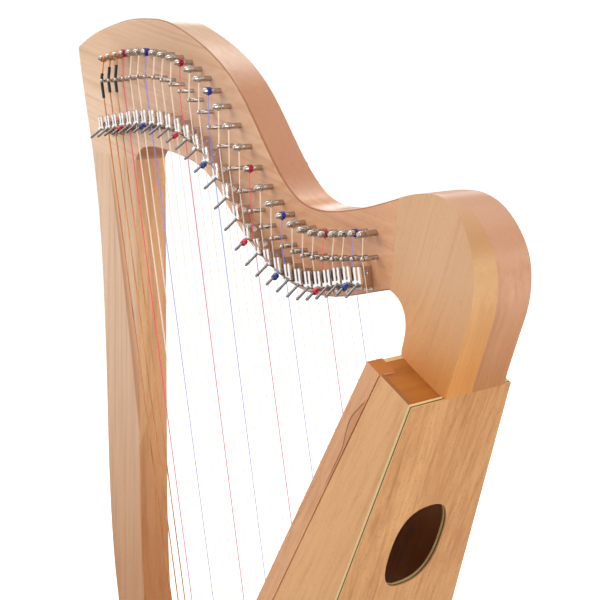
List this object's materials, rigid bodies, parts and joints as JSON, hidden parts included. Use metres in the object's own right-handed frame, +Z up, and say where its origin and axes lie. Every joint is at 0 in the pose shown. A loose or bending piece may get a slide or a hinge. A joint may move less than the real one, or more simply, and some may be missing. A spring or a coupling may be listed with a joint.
{
  "type": "lever harp",
  "caption": "Upright folk harp in beech: curved neck and pillar, carved shoulder, tapered soundbox with oval back holes, nylon strings and a flip-up sharping lever on every string",
  "frame": {"origin": "floor level, midway along the harp's overall length in x, on the soundbox's centre plane in y", "axes": "+Z up; +X from the pillar toward the player's shoulder and the soundbox; -Y is the side of the neck that carries strings, tuning-pin tips and levers"},
  "size_m": [0.5982, 0.278, 1],
  "materials": {
    "neck_beech": "satin lacquer over beech",
    "pillar_beech": "satin lacquer over beech",
    "block_beech": "satin lacquer over beech",
    "cheek_beech": "satin lacquer over beech",
    "side_beech": "satin lacquer over beech",
    "strip_beech": "satin lacquer over beech",
    "rib_beech": "satin lacquer over beech",
    "plinth_beech": "satin lacquer over beech",
    "soundboard_wood": "satin lacquer over a light soundboard wood",
    "back_ply": "satin lacquer over beech plywood",
    "top_board_wood": "satin lacquer, warm tone",
    "inner_wood": "bare wood",
    "brass": "polished brass eyelets",
    "knot_cord": "knotted string ends",
    "rubber": "matte black rubber",
    "zinc_steel": "zinc-plated steel",
    "pin_chrome": "nickel-plated steel pins",
    "copper_winding": "copper winding over a core",
    "red_nylon": "dyed red string",
    "blue_nylon": "dyed blue string",
    "clear_nylon": "clear string, pale and glossy",
    "black_sleeve": "black plastic tubing",
    "bracket_steel": "plated steel brackets",
    "lever_chrome": "nickel-plated levers; the C and F levers wear a coloured cap"
  },
  "bodies": {
    "harp": {"back_panel": "back_ply", "bottom_board": "inner_wood", "box_framing": "inner_wood", "bridge_pins": "pin_chrome", "edge_strips": "strip_beech", "foot_screws": "zinc_steel", "inner_rib": "inner_wood", "left_side_panel": "side_beech", "lever_brackets": "bracket_steel", "lever_pivots": "zinc_steel", "lever_screws": "zinc_steel", "neck": "neck_beech", "neck_dowels": "inner_wood", "pillar": "pillar_beech", "pillar_bolt": "zinc_steel", "plinth": "plinth_beech", "right_side_panel": "side_beech", "rubber_feet": "rubber", "shoulder_block": "block_beech", "shoulder_cheek": "cheek_beech", "soundboard": "soundboard_wood", "string_eyelets": "brass", "string_knots": "knot_cord", "string_rib": "rib_beech", "string_sleeves": "black_sleeve", "strings_blue": "blue_nylon", "strings_clear": "clear_nylon", "strings_red": "red_nylon", "strings_wound": "copper_winding", "top_board": "top_board_wood", "tuning_pins": "pin_chrome"},
    "lever_01": {"lever_01": "lever_chrome"},
    "lever_02": {"lever_02": "lever_chrome"},
    "lever_03": {"lever_03": "lever_chrome"},
    "lever_04": {"lever_04": "lever_chrome"},
    "lever_05": {"lever_05": "lever_chrome"},
    "lever_06": {"lever_06": "lever_chrome"},
    "lever_07": {"lever_07": "lever_chrome"},
    "lever_08": {"lever_08": "lever_chrome"},
    "lever_09": {"lever_09": "lever_chrome"},
    "lever_10": {"lever_10": "lever_chrome"},
    "lever_11": {"lever_11": "lever_chrome"},
    "lever_12": {"lever_12": "lever_chrome"},
    "lever_13": {"lever_13": "lever_chrome"},
    "lever_14": {"lever_14": "lever_chrome"},
    "lever_15": {"lever_15": "lever_chrome"},
    "lever_16": {"lever_16": "lever_chrome"},
    "lever_17": {"lever_17": "lever_chrome"},
    "lever_18": {"lever_18": "lever_chrome"},
    "lever_19": {"lever_19": "lever_chrome"},
    "lever_20": {"lever_20": "lever_chrome"},
    "lever_21": {"lever_21": "lever_chrome"},
    "lever_22": {"lever_22": "lever_chrome"},
    "lever_23": {"lever_23": "lever_chrome"},
    "lever_24": {"lever_24": "lever_chrome"},
    "lever_25": {"lever_25": "lever_chrome"},
    "lever_26": {"lever_26": "lever_chrome"},
    "lever_27": {"lever_27": "lever_chrome"},
    "lever_28": {"lever_28": "lever_chrome"},
    "lever_29": {"lever_29": "lever_chrome"}
  },
  "joints": [
    {"name": "lever_01_flip", "type": "hinge", "parent": "harp", "child": "lever_01", "pos_m": [-0.21445, -0.00586, 0.89461], "axis": [-0.9772, 0, -0.2122], "range_deg": [0, 90]},
    {"name": "lever_02_flip", "type": "hinge", "parent": "harp", "child": "lever_02", "pos_m": [-0.20041, -0.00586, 0.89661], "axis": [-0.9773, 0, -0.2118], "range_deg": [0, 90]},
    {"name": "lever_03_flip", "type": "hinge", "parent": "harp", "child": "lever_03", "pos_m": [-0.18651, -0.00586, 0.89891], "axis": [-0.9773, 0, -0.2116], "range_deg": [0, 90]},
    {"name": "lever_04_flip", "type": "hinge", "parent": "harp", "child": "lever_04", "pos_m": [-0.17173, -0.00586, 0.90121], "axis": [-0.9777, 0, -0.2101], "range_deg": [0, 90]},
    {"name": "lever_05_flip", "type": "hinge", "parent": "harp", "child": "lever_05", "pos_m": [-0.15774, -0.00585, 0.90341], "axis": [-0.9778, 0, -0.2097], "range_deg": [0, 90]},
    {"name": "lever_06_flip", "type": "hinge", "parent": "harp", "child": "lever_06", "pos_m": [-0.14371, -0.00585, 0.90531], "axis": [-0.9779, 0, -0.2091], "range_deg": [0, 90]},
    {"name": "lever_07_flip", "type": "hinge", "parent": "harp", "child": "lever_07", "pos_m": [-0.12946, -0.00585, 0.90661], "axis": [-0.9781, 0, -0.2083], "range_deg": [0, 90]},
    {"name": "lever_08_flip", "type": "hinge", "parent": "harp", "child": "lever_08", "pos_m": [-0.11502, -0.00585, 0.90731], "axis": [-0.9783, 0, -0.2074], "range_deg": [0, 90]},
    {"name": "lever_09_flip", "type": "hinge", "parent": "harp", "child": "lever_09", "pos_m": [-0.10037, -0.00585, 0.90711], "axis": [-0.9785, 0, -0.2062], "range_deg": [0, 90]},
    {"name": "lever_10_flip", "type": "hinge", "parent": "harp", "child": "lever_10", "pos_m": [-0.08558, -0.00585, 0.90571], "axis": [-0.9787, 0, -0.2051], "range_deg": [0, 90]},
    {"name": "lever_11_flip", "type": "hinge", "parent": "harp", "child": "lever_11", "pos_m": [-0.07053, -0.00586, 0.90271], "axis": [-0.979, 0, -0.204], "range_deg": [0, 90]},
    {"name": "lever_12_flip", "type": "hinge", "parent": "harp", "child": "lever_12", "pos_m": [-0.05531, -0.00587, 0.8978], "axis": [-0.9792, 0, -0.2029], "range_deg": [0, 90]},
    {"name": "lever_13_flip", "type": "hinge", "parent": "harp", "child": "lever_13", "pos_m": [-0.04001, -0.00588, 0.8907], "axis": [-0.9793, 0, -0.2024], "range_deg": [0, 90]},
    {"name": "lever_14_flip", "type": "hinge", "parent": "harp", "child": "lever_14", "pos_m": [-0.02461, -0.00589, 0.8811], "axis": [-0.9793, 0, -0.2025], "range_deg": [0, 90]},
    {"name": "lever_15_flip", "type": "hinge", "parent": "harp", "child": "lever_15", "pos_m": [-0.00917, -0.00589, 0.8686], "axis": [-0.9791, 0, -0.2036], "range_deg": [0, 90]},
    {"name": "lever_16_flip", "type": "hinge", "parent": "harp", "child": "lever_16", "pos_m": [0.00625, -0.0059, 0.85331], "axis": [-0.9785, 0, -0.2062], "range_deg": [0, 90]},
    {"name": "lever_17_flip", "type": "hinge", "parent": "harp", "child": "lever_17", "pos_m": [0.02171, -0.0059, 0.83731], "axis": [-0.9778, 0, -0.2095], "range_deg": [0, 90]},
    {"name": "lever_18_flip", "type": "hinge", "parent": "harp", "child": "lever_18", "pos_m": [0.0371, -0.00588, 0.82291], "axis": [-0.9772, 0, -0.2123], "range_deg": [0, 90]},
    {"name": "lever_19_flip", "type": "hinge", "parent": "harp", "child": "lever_19", "pos_m": [0.05215, -0.00588, 0.81262], "axis": [-0.9769, 0, -0.2136], "range_deg": [0, 90]},
    {"name": "lever_20_flip", "type": "hinge", "parent": "harp", "child": "lever_20", "pos_m": [0.06676, -0.00587, 0.80612], "axis": [-0.9769, 0, -0.2137], "range_deg": [0, 90]},
    {"name": "lever_21_flip", "type": "hinge", "parent": "harp", "child": "lever_21", "pos_m": [0.08108, -0.00585, 0.80171], "axis": [-0.9771, 0, -0.2127], "range_deg": [0, 90]},
    {"name": "lever_22_flip", "type": "hinge", "parent": "harp", "child": "lever_22", "pos_m": [0.09504, -0.00581, 0.79871], "axis": [-0.9774, 0, -0.2114], "range_deg": [0, 90]},
    {"name": "lever_23_flip", "type": "hinge", "parent": "harp", "child": "lever_23", "pos_m": [0.10849, -0.00577, 0.79721], "axis": [-0.9777, 0, -0.2099], "range_deg": [0, 90]},
    {"name": "lever_24_flip", "type": "hinge", "parent": "harp", "child": "lever_24", "pos_m": [0.12121, -0.00573, 0.79751], "axis": [-0.9778, 0, -0.2094], "range_deg": [0, 90]},
    {"name": "lever_25_flip", "type": "hinge", "parent": "harp", "child": "lever_25", "pos_m": [0.13331, -0.00572, 0.79971], "axis": [-0.9778, 0, -0.2094], "range_deg": [0, 90]},
    {"name": "lever_26_flip", "type": "hinge", "parent": "harp", "child": "lever_26", "pos_m": [0.14498, -0.00573, 0.80301], "axis": [-0.9778, 0, -0.2095], "range_deg": [0, 90]},
    {"name": "lever_27_flip", "type": "hinge", "parent": "harp", "child": "lever_27", "pos_m": [0.15646, -0.00574, 0.80671], "axis": [-0.9777, 0, -0.21], "range_deg": [0, 90]},
    {"name": "lever_28_flip", "type": "hinge", "parent": "harp", "child": "lever_28", "pos_m": [0.16807, -0.00573, 0.80971], "axis": [-0.9779, 0, -0.2093], "range_deg": [0, 90]},
    {"name": "lever_29_flip", "type": "hinge", "parent": "harp", "child": "lever_29", "pos_m": [0.17994, -0.00566, 0.81131], "axis": [-0.9782, 0, -0.2076], "range_deg": [0, 90]}
  ]
}
